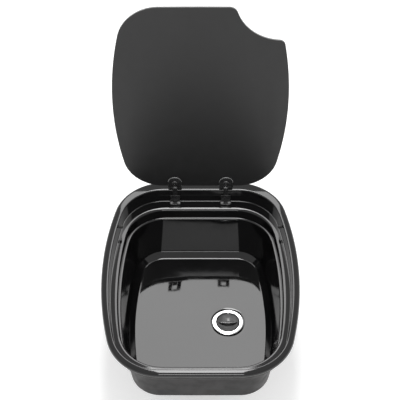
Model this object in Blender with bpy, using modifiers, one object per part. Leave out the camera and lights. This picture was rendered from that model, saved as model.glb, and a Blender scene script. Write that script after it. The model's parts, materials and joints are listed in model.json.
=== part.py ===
"""Drop-in sink with a hinged glass lid, for a camper or a small workshop.

Frame: the origin is on the sink's centre line, in the plane of the worktop that the rim
rests on and a little in front of the rim's middle. +X is to the right, +Y is to the back,
where the hinges are, and +Z is up.
The lid is modelled closed, about its hinge axis, and a parent empty turns it open.
"""

import math

import bmesh
import bpy
from mathutils import Vector

# ---- Driving dimensions, in metres -------------------------------------------------

RIM_HALF_WIDTH = 0.1824
RIM_HALF_DEPTH = 0.230
RIM_Y = 0.0062  # the rim's middle
RIM_TOP = 0.009  # the rim's crown above the worktop
RIM_EDGE_RADIUS = 0.007  # outer edge
LIP_RADIUS = 0.003  # the rim's inner edge
LEDGE_LIP_RADIUS = 0.006
STEP_LIP_RADIUS = 0.004
SKIRT_GAP = 0.001  # between the skirt's lower edge and the worktop
WALL = 0.0025  # moulded wall thickness

RECESS_HALF_WIDTH = 0.1685
RECESS_HALF_DEPTH = 0.2115
RECESS_DRAFT = 0.0015
RECESS_FILLET = 0.0015
LEDGE_Z = RIM_TOP - 0.030  # the wide ledge below the lid
STEP_Z = RIM_TOP - 0.052  # the narrow step below the ledge
STEP_INSET = 0.0045
FLOOR_Z = RIM_TOP - 0.147
WALL_DRAFT = math.radians(8.3)
CHAMFER = 0.0116  # the sloping band between the wall and the floor
CHAMFER_BEND = 0.005  # radius of the bends above and below it

BOWL_Y = 0.001  # the middle of the ledge and step
FLOOR_Y = -0.0012  # the middle of the floor
DRAIN_X, DRAIN_Y = 0.0533, 0.0
DRAIN_FALL = 0.0025  # how far the floor falls to the drain
DRAIN_SEAT_RADIUS = 0.0325
BRIM_RADIUS = 0.0304  # the bright ring
DRAIN_SEAT_DEPTH = 0.002
DRAIN_HOLE_RADIUS = 0.0235
SEAT_Z = FLOOR_Z - DRAIN_FALL - DRAIN_SEAT_DEPTH

FIT = 0.0003  # gap between pieces that touch

LID_HALF_WIDTH = 0.1618
LID_HALF_DEPTH = 0.2022
LID_Y = 0.0043  # the closed lid's middle
GLASS = 0.004
GLASS_PROUD = 0.0005  # the glass's top face above the rim's crown
NOTCH_RADIUS = 0.083  # the quarter-round bite out of the lid's front right corner
NOTCH_X, NOTCH_Y = 0.1436, -0.2137
NOTCH_FRONT_FILLET = 0.016
NOTCH_SIDE_FILLET = 0.012

HINGE_X = 0.050
PIVOT_Y = 0.216
PIVOT_Z = RIM_TOP + 0.0046
OPEN_ANGLE = math.radians(95.0)
KNUCKLE_RADIUS = 0.0040
PIN_RADIUS = 0.0016
PIN_BORE = 0.0019
BASE_HALF = 0.0046  # half width of the fixed middle knuckle
LEAF_INNER, LEAF_OUTER = 0.00495, 0.0126  # the leaf's two knuckles
LEAF_THICKNESS = 0.0030
LEAF_ROUND = 0.0135
LEAF_LENGTH = 0.0333
LEAF_TAIL = 0.0098  # from the pivot to the plate's square end
CLAMP_SHANK = 0.0019
CLAMP_BORE = 0.0024
CAP_RADIUS, CAP_THICKNESS = 0.0105, 0.0048
PAD = 0.001  # thickness of a rubber pad
PAD_RADIUS = 0.0095
HINGE_CUT_HALF = 0.0134  # the glass's notch for a hinge
HINGE_CUT_Y = -0.0105  # its edge, measured from the pivot
BASE_FRONT, BASE_BACK = -0.0078, -0.0056  # the neck's faces, measured from the pivot
ARM_TOP = -0.0165
ARM_HALF = 0.0092
FOOT_THICKNESS = 0.0027
FOOT_LOBE = 0.0042
SCREW_HOLE = 0.0021
FOOT_SCREW_X = 0.007
FOOT_SCREW_Y = -0.0140  # measured from the pivot
CLAMP_Y = -(LEAF_LENGTH - LEAF_ROUND)

REST_Z = RIM_TOP - 0.0075
REST_RADIUS = 0.0035
REST_Y = 0.122
REST_LENGTH = 0.0090
REST_GAP = 0.0008  # between a head and the wall

QUADRANT_STEPS = (3, 7, 2)  # side, corner and end pieces of an outline's quarter
TURN_STEPS = 32  # sides of a large turned piece
SMALL_STEPS = 16  # sides of a screw, a pin or a buffer


# ---- Plan outlines -----------------------------------------------------------------


def circles_meet(centre_a, radius_a, centre_b, radius_b, towards):
    """The crossing of two circles that lies furthest along a direction."""
    between = centre_b - centre_a
    distance = between.length
    along = (radius_a**2 - radius_b**2 + distance**2) / (2 * distance)
    across = math.sqrt(max(radius_a**2 - along**2, 0.0))
    unit = between / distance
    normal = Vector((-unit.y, unit.x))
    foot = centre_a + unit * along
    return max((foot + normal * across, foot - normal * across), key=towards.dot)


def arc(centre, radius, start, end, steps):
    """Points of an arc, without its last one."""
    angles = [start + (end - start) * i / steps for i in range(steps)]
    return [centre + Vector((math.cos(a), math.sin(a))) * radius for a in angles]


def angle_of(vector):
    return math.atan2(vector.y, vector.x)


class Outline:
    """A rounded rectangle with bowed sides: a side, an end and a corner arc, tangent to each other."""

    def __init__(self, half_x, half_y, side, end, corner, middle_y=0.0):
        self.half_x = half_x
        self.half_y = half_y
        self.side = side
        self.end = end
        self.corner = corner
        self.middle_y = middle_y

    def inset(self, distance):
        return Outline(
            self.half_x - distance,
            self.half_y - distance,
            self.side - distance,
            self.end - distance,
            self.corner - distance,
            self.middle_y,
        )

    def arcs(self):
        """Centres of the side, end and corner arcs of the first quadrant."""
        side_centre = Vector((self.half_x - self.side, 0.0))
        end_centre = Vector((0.0, self.half_y - self.end))
        corner_centre = circles_meet(
            side_centre,
            self.side - self.corner,
            end_centre,
            self.end - self.corner,
            Vector((1.0, 1.0)),
        )
        return side_centre, end_centre, corner_centre

    def quadrant(self, steps):
        """Points from the +X axis to the +Y axis, with both ends."""
        side_centre, end_centre, corner_centre = self.arcs()
        first = angle_of(corner_centre - side_centre)
        second = angle_of(corner_centre - end_centre)
        points = arc(side_centre, self.side, 0.0, first, steps[0])
        points += arc(corner_centre, self.corner, first, second, steps[1])
        points += arc(end_centre, self.end, second, math.pi / 2, steps[2])
        return points + [Vector((0.0, self.half_y))]

    def points(self, steps=QUADRANT_STEPS):
        """The whole loop, counter-clockwise from the +X axis."""
        quarter = self.quadrant(steps)
        loop = [(p.x, p.y) for p in quarter[:-1]]
        loop += [(-p.x, p.y) for p in reversed(quarter[1:])]
        loop += [(-p.x, -p.y) for p in quarter[:-1]]
        loop += [(p.x, -p.y) for p in reversed(quarter[1:])]
        return [Vector((x, y + self.middle_y)) for x, y in loop]


RIM = Outline(RIM_HALF_WIDTH, RIM_HALF_DEPTH, 0.671, 9.0, 0.098, RIM_Y)
RECESS = Outline(RECESS_HALF_WIDTH, RECESS_HALF_DEPTH, 0.678, 9.0, 0.083)
LID = Outline(LID_HALF_WIDTH, LID_HALF_DEPTH, 0.668, 9.0, 0.0755, LID_Y)
LEDGE = Outline(0.152, 0.1855, 0.750, 9.0, 0.077, BOWL_Y)  # the ledge's inner edge
STEP = LEDGE.inset(STEP_INSET)
FLOOR = Outline(0.1229, 0.1586, 0.721, 8.97, 0.040, FLOOR_Y)


# ---- Modelling helpers -------------------------------------------------------------


def clear_scene():
    for obj in list(bpy.data.objects):
        bpy.data.objects.remove(obj)


def make_collection(name):
    collection = bpy.data.collections.new(name)
    bpy.context.scene.collection.children.link(collection)
    return collection


def make_material(name, colour, roughness, metallic=0.0, alpha=1.0):
    material = bpy.data.materials.new(name)
    material.use_nodes = True
    shader = material.node_tree.nodes["Principled BSDF"]
    shader.inputs["Base Color"].default_value = (*colour, 1.0)
    shader.inputs["Roughness"].default_value = roughness
    shader.inputs["Metallic"].default_value = metallic
    shader.inputs["Alpha"].default_value = alpha
    return material


def place(name, mesh, collection, material=None, parent=None):
    """Puts a mesh in the scene as a named object, shaded smooth up to 35 degrees."""
    obj = bpy.data.objects.new(name, mesh)
    collection.objects.link(obj)
    obj.parent = parent
    mesh.shade_smooth()
    mesh.set_sharp_from_angle(angle=math.radians(35))
    if material:
        mesh.materials.append(material)
    else:
        obj.hide_render = True
        obj.display_type = "WIRE"
    return obj


def finish_mesh(name, bm):
    bmesh.ops.recalc_face_normals(bm, faces=bm.faces)
    mesh = bpy.data.meshes.new(name)
    bm.to_mesh(mesh)
    bm.free()
    return mesh


def box_mesh(name, low, high):
    bm = bmesh.new()
    bmesh.ops.create_cube(bm, size=1.0)
    size = Vector(high) - Vector(low)
    centre = (Vector(high) + Vector(low)) / 2
    bmesh.ops.scale(bm, verts=bm.verts, vec=size)
    bmesh.ops.translate(bm, verts=bm.verts, vec=centre)
    return finish_mesh(name, bm)


def rod_mesh(name, radius, start, end, segments=24, end_radius=None):
    """A cylinder from one point to another, or a cone if it has another radius at its end."""
    start, end = Vector(start), Vector(end)
    axis = end - start
    turn = Vector((0, 0, 1)).rotation_difference(axis).to_matrix()
    bm = bmesh.new()
    bmesh.ops.create_cone(
        bm,
        cap_ends=True,
        segments=segments,
        radius1=radius,
        radius2=end_radius or radius,
        depth=axis.length,
    )
    bmesh.ops.rotate(bm, verts=bm.verts, matrix=turn)
    bmesh.ops.translate(bm, verts=bm.verts, vec=(start + end) / 2)
    return finish_mesh(name, bm)


def slab_mesh(name, loop, low, high, upright=False):
    """A flat outline given thickness: along Z, or along X with the outline in the YZ plane."""
    bm = bmesh.new()
    if upright:
        corners = [(low, p[0], p[1]) for p in loop]
        travel = Vector((high - low, 0, 0))
    else:
        corners = [(p[0], p[1], low) for p in loop]
        travel = Vector((0, 0, high - low))
    face = bm.faces.new([bm.verts.new(c) for c in corners])
    made = bmesh.ops.extrude_face_region(bm, geom=[face])
    moved = [v for v in made["geom"] if isinstance(v, bmesh.types.BMVert)]
    bmesh.ops.translate(bm, verts=moved, vec=travel)
    return finish_mesh(name, bm)


def profile_mesh(name, profile, closed):
    """A profile in the XZ plane, for a Screw modifier."""
    edges = [(i, i + 1) for i in range(len(profile) - 1)]
    if closed:
        edges.append((len(profile) - 1, 0))
    mesh = bpy.data.meshes.new(name)
    mesh.from_pydata([(r, 0.0, z) for r, z in profile], edges, [])
    return mesh


def add_screw(obj, steps):
    turn = obj.modifiers.new("turn", "SCREW")
    turn.steps = steps
    turn.render_steps = steps
    turn.use_merge_vertices = True
    turn.merge_threshold = 0.00001
    turn.use_smooth_shade = True


def add_boolean(obj, other, operation="DIFFERENCE"):
    modifier = obj.modifiers.new(operation.lower(), "BOOLEAN")
    modifier.operation = operation
    modifier.object = other


def add_bevel(obj, width, segments=2, angle=40):
    bevel = obj.modifiers.new("edges", "BEVEL")
    bevel.width = width
    bevel.segments = segments
    bevel.limit_method = "ANGLE"
    bevel.angle_limit = math.radians(angle)


class Builder:
    """Holds the collections and materials, and makes the solids and cutters."""

    def __init__(self):
        self.parts = make_collection("lidded_sink")
        self.cutters = make_collection("cutters")
        self.cutters.hide_render = True
        self.black_gloss = make_material("black_gloss", (0.012, 0.012, 0.013), 0.08)
        self.black_satin = make_material("black_satin", (0.02, 0.02, 0.021), 0.35)
        self.smoked_glass = make_material("smoked_glass", (0.03, 0.03, 0.031), 0.12)
        self.rubber = make_material("rubber", (0.025, 0.025, 0.025), 0.7)
        self.chrome = make_material("chrome", (0.86, 0.87, 0.88), 0.08, metallic=1.0)
        self.steel = make_material("steel", (0.6, 0.6, 0.61), 0.28, metallic=1.0)
        self.tail_plastic = make_material("tail_plastic", (0.06, 0.06, 0.062), 0.45)

    def solid(self, name, mesh, material, parent=None):
        return place(name, mesh, self.parts, material, parent)

    def cutter(self, name, mesh, parent=None):
        return place(name, mesh, self.cutters, None, parent)

    def turned(self, name, profile, material, at, closed=True, parent=None, steps=TURN_STEPS):
        """A turned solid standing on the Z axis at a point."""
        obj = self.solid(name, profile_mesh(name, profile, closed), material, parent)
        obj.location = at
        add_screw(obj, steps)
        return obj


# ---- The bowl ----------------------------------------------------------------------


def quarter_turn(steps):
    """Angles from 0 to 90 degrees."""
    return [math.pi / 2 * i / steps for i in range(steps + 1)]


def blend_loops(first, second, share):
    return [a.lerp(b, share) for a, b in zip(first, second)]


def drain_circle(radius, count):
    """A circle round the drain, counter-clockwise from the +X direction as an outline is."""
    centre = Vector((DRAIN_X, DRAIN_Y))
    angles = [math.tau * i / count for i in range(count)]
    return [centre + Vector((math.cos(a), math.sin(a))) * radius for a in angles]


def lip_rings(outline, top, radius, steps=3):
    """A rounded edge from a flat top, over and down to a wall."""
    rings = []
    for a in quarter_turn(steps):
        edge = outline.inset(-radius * (1 - math.sin(a)))
        rings.append((edge.points(), top - radius * (1 - math.cos(a))))
    return rings


def rim_rings():
    """From the skirt's lower edge, over the crown, to the recess wall."""
    rings = [(RIM.points(), SKIRT_GAP)]
    for a in quarter_turn(4):
        inset = RIM_EDGE_RADIUS * (1 - math.cos(a))
        z = RIM_TOP - RIM_EDGE_RADIUS * (1 - math.sin(a))
        rings.append((RIM.inset(inset).points(), z))
    return rings + lip_rings(RECESS, RIM_TOP, LIP_RADIUS)


def ledge_rings():
    """The foot of the recess wall, the ledge and the step below it."""
    rings = []
    foot = RECESS.inset(RECESS_DRAFT + RECESS_FILLET)
    for a in quarter_turn(2):
        z = LEDGE_Z + RECESS_FILLET * (1 - math.sin(a))
        rings.append((foot.inset(-RECESS_FILLET * math.cos(a)).points(), z))
    rings += lip_rings(LEDGE, LEDGE_Z, LEDGE_LIP_RADIUS)
    rings.append((LEDGE.inset(STEP_INSET - STEP_LIP_RADIUS - 0.0002).points(), STEP_Z))
    return rings + lip_rings(STEP, STEP_Z, STEP_LIP_RADIUS)


def chamfer_section(steps=3):
    """(outwards, upwards) points from the wall's foot down to the floor's edge."""
    slope = math.pi / 4
    low_bend = [(math.sin(a), 1 - math.cos(a)) for a in (slope * i / steps for i in range(steps + 1))]
    points = [(CHAMFER_BEND * out, CHAMFER_BEND * up) for out, up in low_bend]
    out = points[-1][0] + CHAMFER * math.cos(slope)
    up = points[-1][1] + CHAMFER * math.sin(slope)
    for i in range(steps + 1):
        a = slope + (math.pi / 2 - WALL_DRAFT - slope) * i / steps
        rise_out = CHAMFER_BEND * (math.sin(a) - math.sin(slope))
        rise_up = CHAMFER_BEND * (math.cos(slope) - math.cos(a))
        points.append((out + rise_out, up + rise_up))
    return points[::-1]


def floor_rings():
    """The band at the foot of the wall, and the floor falling to the drain's seat."""
    rings = [(FLOOR.inset(-out).points(), FLOOR_Z + up) for out, up in chamfer_section()]
    edge = FLOOR.points()
    count = len(edge)
    brink = drain_circle(DRAIN_SEAT_RADIUS + 0.003, count)
    for share in (0.35, 0.7, 1.0):
        z = FLOOR_Z - DRAIN_FALL * (1 - math.cos(math.pi * share)) / 2
        rings.append((blend_loops(edge, brink, share), z))
    rings.append((drain_circle(DRAIN_SEAT_RADIUS, count), SEAT_Z + 0.0008))
    rings.append((drain_circle(DRAIN_SEAT_RADIUS - 0.0008, count), SEAT_Z))
    rings.append((drain_circle(DRAIN_HOLE_RADIUS, count), SEAT_Z))
    return rings


def loft_mesh(name, rings):
    """An open surface through a list of (loop, z), facing the first side of the walk round each loop."""
    bm = bmesh.new()
    rows = [[bm.verts.new((p.x, p.y, z)) for p in loop] for loop, z in rings]
    for upper, lower in zip(rows, rows[1:]):
        for i in range(len(upper)):
            j = (i + 1) % len(upper)
            bm.faces.new((upper[i], upper[j], lower[j], lower[i]))
    mesh = bpy.data.meshes.new(name)
    bm.to_mesh(mesh)
    bm.free()
    return mesh


def rest_places():
    """Where each lid rest goes through the recess wall, and the way that it points."""
    wall = RECESS.inset(RECESS_DRAFT * (RIM_TOP - REST_Z) / (RIM_TOP - LEDGE_Z))
    side_centre, _, _ = wall.arcs()
    angle = math.asin(REST_Y / wall.side)
    outwards = Vector((math.cos(angle), math.sin(angle)))
    point = side_centre + outwards * wall.side
    places = {}
    for side, sign in (("left", -1), ("right", 1)):
        places[side] = (
            Vector((sign * point.x, point.y, REST_Z)),
            Vector((-sign * outwards.x, -outwards.y, 0)),
        )
    return places


def foot_screw_places():
    for side, sign in (("left", -1), ("right", 1)):
        for number, offset in ((1, -FOOT_SCREW_X), (2, FOOT_SCREW_X)):
            x = sign * HINGE_X + offset
            yield f"{side}_{number}", Vector((x, PIVOT_Y + FOOT_SCREW_Y, LEDGE_Z))


def build_bowl(builder):
    mesh = loft_mesh("sink_bowl", rim_rings() + ledge_rings() + floor_rings())
    bowl = builder.solid("sink_bowl", mesh, builder.black_gloss)
    shell = bowl.modifiers.new("wall", "SOLIDIFY")
    shell.thickness = WALL
    shell.offset = -1.0
    shell.use_even_offset = True
    for name, point in foot_screw_places():
        low, high = point - Vector((0, 0, 0.006)), point + Vector((0, 0, 0.004))
        hole = rod_mesh("screw_hole", SCREW_HOLE, low, high, SMALL_STEPS)
        add_boolean(bowl, builder.cutter(f"screw_hole_{name}", hole))
    for name, (point, inwards) in rest_places().items():
        outer, inner = point - inwards * 0.006, point + inwards * 0.004
        hole = rod_mesh("rest_hole", 0.0022, outer, inner, SMALL_STEPS)
        add_boolean(bowl, builder.cutter(f"rest_hole_{name}", hole))


def build_rim_gasket(builder):
    """The foam strip in the channel under the rim, which is what meets the worktop."""
    inner = RECESS.inset(-WALL - 0.0006)
    outer = RIM.inset(WALL + 0.0012)
    top = RIM_TOP - WALL - 0.0008
    corners = [(outer, top - 0.003), (outer.inset(0.003), top), (inner, top)]
    corners += [(inner, 0.0), (outer, 0.0)]
    bm = bmesh.new()
    rows = [[bm.verts.new((p.x, p.y, z)) for p in outline.points()] for outline, z in corners]
    for one, other in zip(rows, rows[1:] + rows[:1]):
        for i in range(len(one)):
            j = (i + 1) % len(one)
            bm.faces.new((one[i], one[j], other[j], other[i]))
    builder.solid("rim_gasket", finish_mesh("rim_gasket", bm), builder.rubber)


def build_lid_rests(builder):
    """Push-in rubber buffers: a round head inside the recess, and a stem that ends inside its wall."""
    stem, edge = 0.0019, 0.0013
    profile = [(0.0, REST_LENGTH)]
    for a in quarter_turn(3):
        radius = REST_RADIUS - edge * (1 - math.sin(a))
        profile.append((radius, REST_LENGTH - edge * (1 - math.cos(a))))
    profile += [(REST_RADIUS, REST_GAP), (stem, REST_GAP), (stem, FIT - WALL), (0.0, FIT - WALL)]
    for name, (point, inwards) in rest_places().items():
        rest = builder.turned(
            f"lid_rest_{name}", profile, builder.rubber, point, closed=False, steps=SMALL_STEPS
        )
        rest.rotation_euler = Vector((0, 0, 1)).rotation_difference(inwards).to_euler()


# ---- The hinges --------------------------------------------------------------------


def knuckle_arc(steps=8):
    """The back half of a knuckle's round, from its lowest to its highest point."""
    angles = [math.pi * (i / steps - 0.5) for i in range(steps + 1)]
    return [(KNUCKLE_RADIUS * math.cos(a), KNUCKLE_RADIUS * math.sin(a)) for a in angles]


def bent_front(front, bend, steps=4):
    """The rounded shoulder from a knuckle's top to its front face."""
    points = []
    for a in quarter_turn(steps):
        points.append((front + bend * (1 - math.sin(a)), KNUCKLE_RADIUS - bend * (1 - math.cos(a))))
    return points


def neck_section():
    """The middle knuckle and the neck below it, seen from the side."""
    low = ARM_TOP - 0.0015
    points = knuckle_arc() + bent_front(BASE_FRONT, 0.0036)
    return points + [(BASE_FRONT, low), (BASE_BACK, low), (BASE_BACK, -0.0062), (-0.0044, -0.0045)]


def arm_section(ledge):
    """The wider arm below the neck, which leans out to the foot."""
    points = [(BASE_FRONT - 0.0003, ARM_TOP), (BASE_BACK - 0.0003, ARM_TOP)]
    points += [(-0.0069, ledge + 0.0052), (-0.0096, ledge + 0.0013)]
    return points + [(-0.0108, ledge + 0.0013), (-0.0092, ledge + 0.0055)]


def build_hinge_base(builder, side, x):
    """The fixed half: a middle knuckle, an arm down the recess wall and a foot on the ledge."""
    at = Vector((x, PIVOT_Y, PIVOT_Z))
    ledge = LEDGE_Z - PIVOT_Z + FIT
    neck = slab_mesh("hinge_base", neck_section(), -BASE_HALF, BASE_HALF, upright=True)
    base = builder.solid(f"hinge_base_{side}", neck, builder.black_satin)
    base.location = at
    foot_low = (-ARM_HALF, FOOT_SCREW_Y, ledge)
    foot_high = (ARM_HALF, -0.0105, ledge + 0.0025)
    arm_half = ARM_HALF + 0.0003
    pieces = [
        ("arm", slab_mesh("arm", arm_section(ledge), -arm_half, arm_half, upright=True)),
        ("foot", box_mesh("foot", foot_low, foot_high)),
    ]
    for number, offset in ((1, -FOOT_SCREW_X), (2, FOOT_SCREW_X)):
        low = (offset, FOOT_SCREW_Y, ledge + 0.0001)
        high = (offset, FOOT_SCREW_Y, ledge + FOOT_THICKNESS)
        pieces.append((f"lobe_{number}", rod_mesh("lobe", FOOT_LOBE, low, high)))
    for name, mesh in pieces:
        piece = builder.cutter(f"hinge_base_{side}_{name}", mesh)
        piece.location = at
        add_boolean(base, piece, "UNION")
    holes = [("pin_bore", rod_mesh("pin_bore", PIN_BORE, (-0.02, 0, 0), (0.02, 0, 0)))]
    for number, offset in ((1, -FOOT_SCREW_X), (2, FOOT_SCREW_X)):
        low, high = (offset, FOOT_SCREW_Y, ledge - 0.005), (offset, FOOT_SCREW_Y, ledge + 0.006)
        holes.append((f"hole_{number}", rod_mesh("hole", SCREW_HOLE, low, high, SMALL_STEPS)))
    for name, mesh in holes:
        hole = builder.cutter(f"hinge_base_{side}_{name}", mesh)
        hole.location = at
        add_boolean(base, hole)


def build_foot_screws(builder):
    """Domed screws that hold each hinge's foot to the ledge."""
    under = FIT + FOOT_THICKNESS + FIT
    head, dome, edge, shank = 0.0034, 0.0020, 0.0004, 0.0017
    profile = [(0.0, under + edge + dome)]
    for a in quarter_turn(5)[1:]:
        profile.append((head * math.sin(a), under + edge + dome * math.cos(a)))
    profile += [(head, under), (shank, under), (shank, -0.0075), (0.0, -0.0100)]
    for name, point in foot_screw_places():
        builder.turned(
            f"hinge_screw_{name}", profile, builder.black_satin, point, closed=False, steps=SMALL_STEPS
        )


def build_hinge_pin(builder, side, x):
    """A steel pin with a flat head at each end."""
    half, head, head_radius = LEAF_OUTER + FIT, 0.0008, 0.0027
    profile = [(0.0, half + head), (head_radius, half + head), (head_radius, half)]
    profile += [(PIN_RADIUS, half), (PIN_RADIUS, -half), (head_radius, -half)]
    profile += [(head_radius, -half - head), (0.0, -half - head)]
    at = (x, PIVOT_Y, PIVOT_Z)
    pin = builder.turned(
        f"hinge_pin_{side}", profile, builder.steel, at, closed=False, steps=SMALL_STEPS
    )
    pin.rotation_euler = (0, math.pi / 2, 0)


def leaf_levels():
    """With the lid closed, heights from the pivot: glass top and bottom, pad bottom, leaf top and bottom."""
    glass_top = RIM_TOP + GLASS_PROUD - PIVOT_Z
    glass_bottom = glass_top - GLASS
    pad_bottom = glass_bottom - FIT - PAD
    leaf_top = pad_bottom - FIT
    return glass_top, glass_bottom, pad_bottom, leaf_top, leaf_top - LEAF_THICKNESS


def round_ended(length, radius, tail, steps=16):
    """A plate's plan outline: a round end at -length, parallel sides, and a square end at -tail."""
    centre = Vector((0.0, radius - length))
    points = [(-radius, -tail)]
    points += [(p.x, p.y) for p in arc(centre, radius, math.pi, 2 * math.pi, steps)]
    return points + [(radius, centre.y), (radius, -tail)]


def cheek_section(top, bottom):
    """A leaf's knuckle and the cheek that joins it to the plate, seen from the side."""
    sunk = 0.0003  # the cheek's foot ends inside the plate
    front, back, toe = -0.0092, -0.0055, -0.0125
    points = knuckle_arc() + bent_front(front, 0.0030)
    points += [(front, top - sunk), (toe, top - sunk), (toe, bottom + sunk), (back, bottom + sunk)]
    return points + [(back, -0.0062), (-0.0044, -0.0045)]


def build_hinge_leaf(builder, side, x, lid):
    """The half that turns: a round-ended plate under the glass, and two cheeks up to the knuckles."""
    _, _, _, top, bottom = leaf_levels()
    plate = slab_mesh("hinge_leaf", round_ended(LEAF_LENGTH, LEAF_ROUND, LEAF_TAIL), bottom, top)
    leaf = builder.solid(f"hinge_leaf_{side}", plate, builder.black_satin, lid)
    leaf.location = (x, 0, 0)
    for name, sign in (("left", -1), ("right", 1)):
        low, high = sorted((sign * LEAF_INNER, sign * LEAF_OUTER))
        mesh = slab_mesh("cheek", cheek_section(top, bottom), low, high, upright=True)
        piece = builder.cutter(f"hinge_leaf_{side}_{name}_cheek", mesh, lid)
        piece.location = (x, 0, 0)
        add_boolean(leaf, piece, "UNION")
    low, high = (0, CLAMP_Y, bottom - 0.002), (0, CLAMP_Y, top + 0.002)
    bores = (
        ("pin_bore", rod_mesh("pin_bore", PIN_BORE, (-0.02, 0, 0), (0.02, 0, 0))),
        ("screw_bore", rod_mesh("screw_bore", CLAMP_BORE, low, high)),
    )
    for name, mesh in bores:
        hole = builder.cutter(f"hinge_leaf_{side}_{name}", mesh, lid)
        hole.location = (x, 0, 0)
        add_boolean(leaf, hole)


def ring_profile(inner, outer, low, high):
    """The closed profile of a flat washer."""
    return [(inner, high), (outer, high), (outer, low), (inner, low)]


def build_clamp(builder, side, x, lid):
    """What grips the glass: a pad on each face, a cap outside and a screw through all of them."""
    glass_top, glass_bottom, pad_bottom, _, leaf_bottom = leaf_levels()
    at = (x, CLAMP_Y, 0)
    pads = (
        ("inner", pad_bottom, glass_bottom - FIT),
        ("outer", glass_top + FIT, glass_top + FIT + PAD),
    )
    for name, low, high in pads:
        profile = ring_profile(0.0026, PAD_RADIUS, low, high)
        builder.turned(f"glass_pad_{name}_{side}", profile, builder.rubber, at, parent=lid, steps=24)
    low = glass_top + PAD + 2 * FIT
    skirt, socket = 0.0018, 0.0030
    cap = [(0.0, low + CAP_THICKNESS)]
    for a in quarter_turn(6)[1:]:
        cap.append((CAP_RADIUS * math.sin(a), low + skirt + (CAP_THICKNESS - skirt) * math.cos(a)))
    cap += [(CAP_RADIUS, low), (CLAMP_BORE, low), (CLAMP_BORE, low + socket), (0.0, low + socket)]
    builder.turned(
        f"clamp_cap_{side}", cap, builder.black_satin, at, closed=False, parent=lid, steps=24
    )
    under = leaf_bottom - FIT
    tip = low + 0.0024
    head, edge, dome = 0.0050, 0.0006, 0.0018
    screw = [(0.0, tip), (CLAMP_SHANK, tip), (CLAMP_SHANK, under), (head, under)]
    for a in quarter_turn(5)[:-1]:
        screw.append((head * math.cos(a), under - edge - dome * math.sin(a)))
    screw += [(0.0, under - edge - dome)]
    builder.turned(
        f"clamp_screw_{side}", screw, builder.black_satin, at, closed=False, parent=lid, steps=SMALL_STEPS
    )


# ---- The lid -----------------------------------------------------------------------


def lid_loop():
    """The glass's outline, with the round bite at the front right, measured from the pivot."""
    side_centre, end_centre, corner_centre = LID.arcs()
    first = angle_of(corner_centre - side_centre)
    second = angle_of(corner_centre - end_centre)
    flip_x, flip_y = Vector((-1, 1)), Vector((1, -1))
    left_centre = side_centre * flip_x
    front_centre = end_centre * flip_y
    notch = Vector((NOTCH_X, NOTCH_Y - LID_Y))
    upper = circles_meet(
        notch,
        NOTCH_RADIUS + NOTCH_SIDE_FILLET,
        side_centre,
        LID.side - NOTCH_SIDE_FILLET,
        Vector((0, 1)),
    )
    lower = circles_meet(
        notch,
        NOTCH_RADIUS + NOTCH_FRONT_FILLET,
        front_centre,
        LID.end - NOTCH_FRONT_FILLET,
        Vector((-1, 0)),
    )
    side_start = angle_of(upper - side_centre)
    front_end = angle_of(lower - front_centre)
    points = arc(side_centre, LID.side, side_start, first, 10)
    points += arc(corner_centre, LID.corner, first, second, 12)
    points += arc(end_centre, LID.end, second, math.pi - second, 4)
    points += arc(corner_centre * flip_x, LID.corner, math.pi - second, math.pi - first, 12)
    points += arc(left_centre, LID.side, math.pi - first, math.pi + first, 14)
    points += arc(corner_centre * -1, LID.corner, math.pi + first, math.pi + second, 12)
    points += arc(front_centre, LID.end, math.pi + second, front_end + 2 * math.pi, 4)
    to_lower = angle_of(lower - notch)
    to_upper = angle_of(upper - notch)
    points += arc(lower, NOTCH_FRONT_FILLET, front_end, to_lower - math.pi, 6)
    points += arc(notch, NOTCH_RADIUS, to_lower, to_upper, 16)
    points += arc(upper, NOTCH_SIDE_FILLET, to_upper - math.pi, side_start, 6)
    return [(p.x, p.y + LID_Y - PIVOT_Y) for p in points]


def build_glass(builder, lid):
    glass_top, glass_bottom, _, _, _ = leaf_levels()
    sheet = slab_mesh("lid_glass", lid_loop(), glass_bottom, glass_top)
    glass = builder.solid("lid_glass", sheet, builder.smoked_glass, lid)
    for side, sign in (("left", -1), ("right", 1)):
        x = sign * HINGE_X
        low, high = (x - HINGE_CUT_HALF, HINGE_CUT_Y, -0.02), (x + HINGE_CUT_HALF, 0.01, 0.01)
        cut = box_mesh("cut", low, high)
        add_boolean(glass, builder.cutter(f"glass_cut_{side}", cut, lid))
        hole = rod_mesh("hole", 0.0030, (x, CLAMP_Y, -0.02), (x, CLAMP_Y, 0.01))
        add_boolean(glass, builder.cutter(f"glass_hole_{side}", hole, lid))
    add_bevel(glass, 0.0006, 1, 60)


# ---- The waste fitting and the plug ------------------------------------------------


def build_drain(builder):
    """Flange, seals, strainer, nuts and hose tail, from the top down, on the drain's axis."""
    at = (DRAIN_X, DRAIN_Y, SEAT_Z)
    brim = BRIM_RADIUS
    seal_top = FIT + 0.0010
    under = seal_top + FIT
    tail_end = -0.036
    flange = [(0.0222, under + 0.0014), (0.0232, under + 0.0021), (0.0270, under + 0.0022)]
    flange += [(brim - 0.0012, under + 0.0017), (brim, under + 0.0004), (brim, under)]
    flange += [(0.0230, under), (0.0230, tail_end), (0.0180, tail_end), (0.0180, -0.0165)]
    flange += [(0.0160, -0.0150), (0.0160, -0.0125), (0.0195, -0.0100), (0.0222, -0.0075)]
    builder.turned("drain_flange", flange, builder.chrome, at)
    builder.turned("drain_seal", ring_profile(0.0238, brim - 0.0008, FIT, seal_top), builder.rubber, at)
    floor_under = -WALL - FIT
    washer_low = floor_under - 0.0030
    builder.turned(
        "drain_washer", ring_profile(0.0238, 0.0330, washer_low, floor_under), builder.rubber, at
    )
    build_locknut(builder, at, washer_low - FIT)
    build_strainer(builder, at)
    build_tail(builder, at, tail_end)


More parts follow.
